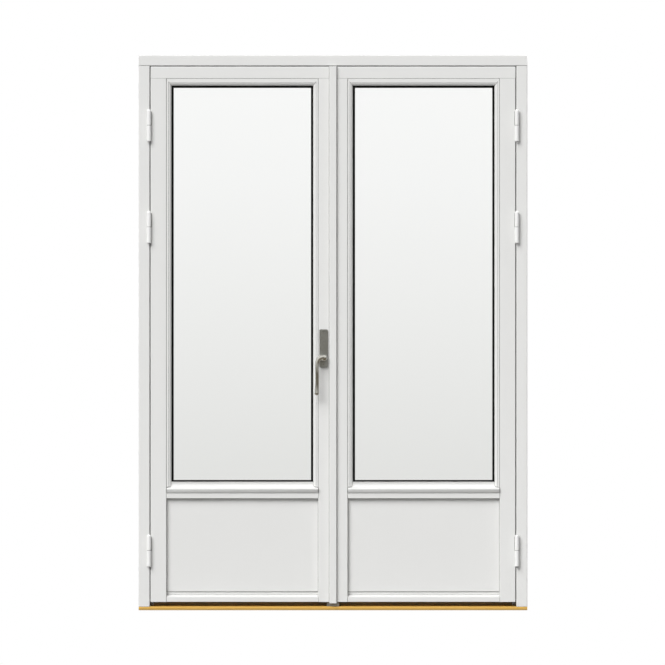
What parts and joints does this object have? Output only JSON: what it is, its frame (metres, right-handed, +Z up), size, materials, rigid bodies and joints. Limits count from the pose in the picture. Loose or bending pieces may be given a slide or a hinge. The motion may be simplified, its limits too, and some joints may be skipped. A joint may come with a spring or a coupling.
{
  "type": "french doors",
  "caption": "Pair of outward-opening glazed timber french doors in their frame, with lift-off hinges, an astragal, a cranked lever and an oak threshold.",
  "frame": {"origin": "on the underside of the oak threshold, midway between the jambs and midway in the depth of the frame", "axes": "+X along the doorway to the right as seen from outdoors, -Y outdoors, +Z up"},
  "size_m": [1.38, 0.1588, 1.97],
  "materials": {
    "paint": "white paint over planed softwood, satin",
    "oak": "oiled oak",
    "glass": "clear float glass",
    "rubber": "black EPDM, matt",
    "spacer": "black warm-edge spacer and sealant",
    "painted_steel": "white powder coat",
    "satin_steel": "satin stainless",
    "zinc": "bright zinc plate",
    "lock_brass": "dull passivated zinc and brass"
  },
  "bodies": {
    "frame": {"head": "paint", "left_jamb": "paint", "right_jamb": "paint", "threshold": "oak", "frame_seal": "rubber", "frame_screws": "zinc", "head_keep": "zinc", "sill_keep": "zinc", "left_hinge_frame_halves": "painted_steel", "right_hinge_frame_halves": "painted_steel", "hinge_pins": "zinc", "hinge_screws_frame": "zinc"},
    "left_leaf": {"left_hinge_stile": "paint", "left_meeting_stile": "paint", "left_top_rail": "paint", "left_mid_rail": "paint", "left_bottom_rail": "paint", "left_panel": "paint", "left_outer_pane": "glass", "left_inner_pane": "glass", "left_spacer": "spacer", "left_gaskets": "rubber", "left_hinge_bead": "paint", "left_meeting_bead": "paint", "left_top_bead": "paint", "left_bottom_bead": "paint", "left_hinge_leaf_halves": "painted_steel", "left_hinge_screws": "zinc", "astragal": "paint", "outer_plate": "satin_steel", "inner_plate": "satin_steel", "plate_screws": "satin_steel", "lock_case": "lock_brass", "faceplate": "zinc"},
    "right_leaf": {"right_hinge_stile": "paint", "right_meeting_stile": "paint", "right_top_rail": "paint", "right_mid_rail": "paint", "right_bottom_rail": "paint", "right_panel": "paint", "right_outer_pane": "glass", "right_inner_pane": "glass", "right_spacer": "spacer", "right_gaskets": "rubber", "right_hinge_bead": "paint", "right_meeting_bead": "paint", "right_top_bead": "paint", "right_bottom_bead": "paint", "right_hinge_leaf_halves": "painted_steel", "right_hinge_screws": "zinc", "cover_strip": "paint", "flush_bolt_plates": "zinc"},
    "handle": {"outer_lever": "satin_steel", "inner_lever": "satin_steel", "spindle": "zinc", "pinion": "lock_brass"},
    "upper_lock_rod": {"upper_rod": "zinc"},
    "lower_lock_rod": {"lower_rod": "zinc"},
    "upper_flush": {"upper_flush_bolt": "zinc"},
    "lower_flush": {"lower_flush_bolt": "zinc"}
  },
  "joints": [
    {"name": "left_leaf_hinge", "type": "hinge", "parent": "frame", "child": "left_leaf", "pos_m": [-0.6535, -0.06575, 0], "axis": [0, 0, -1], "range_deg": [0, 170]},
    {"name": "right_leaf_hinge", "type": "hinge", "parent": "frame", "child": "right_leaf", "pos_m": [0.6535, -0.06575, 0], "axis": [0, 0, 1], "range_deg": [0, 170]},
    {"name": "handle_turn", "type": "hinge", "parent": "left_leaf", "child": "handle", "pos_m": [-0.03345, -0.0295, 0.896], "axis": [0, 1, 0], "range_deg": [0, 90]},
    {"name": "upper_rod_slide", "type": "slide", "parent": "left_leaf", "child": "upper_lock_rod", "axis": [0, 0, -1], "range_m": [0, 0.01414]},
    {"name": "lower_rod_slide", "type": "slide", "parent": "left_leaf", "child": "lower_lock_rod", "axis": [0, 0, 1], "range_m": [0, 0.01414]},
    {"name": "upper_flush_slide", "type": "slide", "parent": "right_leaf", "child": "upper_flush", "axis": [0, 0, -1], "range_m": [0, 0.014]},
    {"name": "lower_flush_slide", "type": "slide", "parent": "right_leaf", "child": "lower_flush", "axis": [0, 0, 1], "range_m": [0, 0.014]}
  ],
  "couplings": [
    {"joint": "upper_rod_slide", "follows": "handle_turn", "m_per_rad": 0.009},
    {"joint": "lower_rod_slide", "follows": "handle_turn", "m_per_rad": 0.009}
  ]
}
